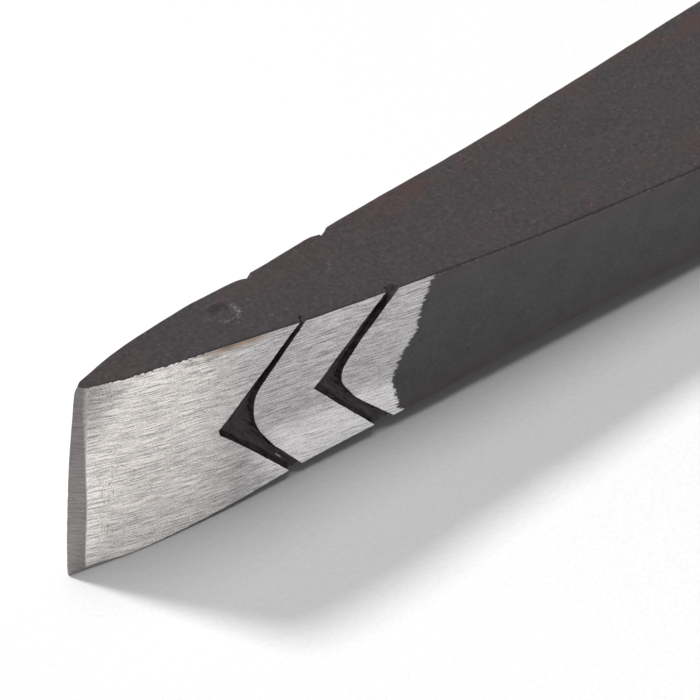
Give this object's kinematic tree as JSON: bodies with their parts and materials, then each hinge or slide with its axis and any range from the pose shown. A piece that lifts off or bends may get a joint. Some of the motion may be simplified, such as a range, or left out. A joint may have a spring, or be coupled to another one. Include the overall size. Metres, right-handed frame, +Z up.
{
  "type": "parting tool",
  "caption": "Forged steel wood-carving parting tool with an upright wedge edge, chevron grooves, a tanged blade and an octagonal hooped wooden handle.",
  "frame": {"origin": "on the bench plane under the middle of the tool's bounding box, in the tool's mid-plane", "axes": "+X from the cutting edge towards the handle's butt, +Y across the tool to the far side of the blade, +Z up from the bench that the tool lies on"},
  "size_m": [0.2508, 0.027, 0.0274],
  "materials": {
    "forged_steel": "black forge scale, ground bright at the edge",
    "leather": "natural",
    "brass": "satin",
    "brass_pin": "filed flush",
    "ash_wood": "oiled",
    "blackened_hoop": "blackened"
  },
  "bodies": {
    "root": {"blade": "forged_steel", "leather_washer": "leather", "ferrule": "brass", "ferrule_pin": "brass_pin", "handle": "ash_wood", "butt_hoop": "blackened_hoop"}
  },
  "joints": []
}
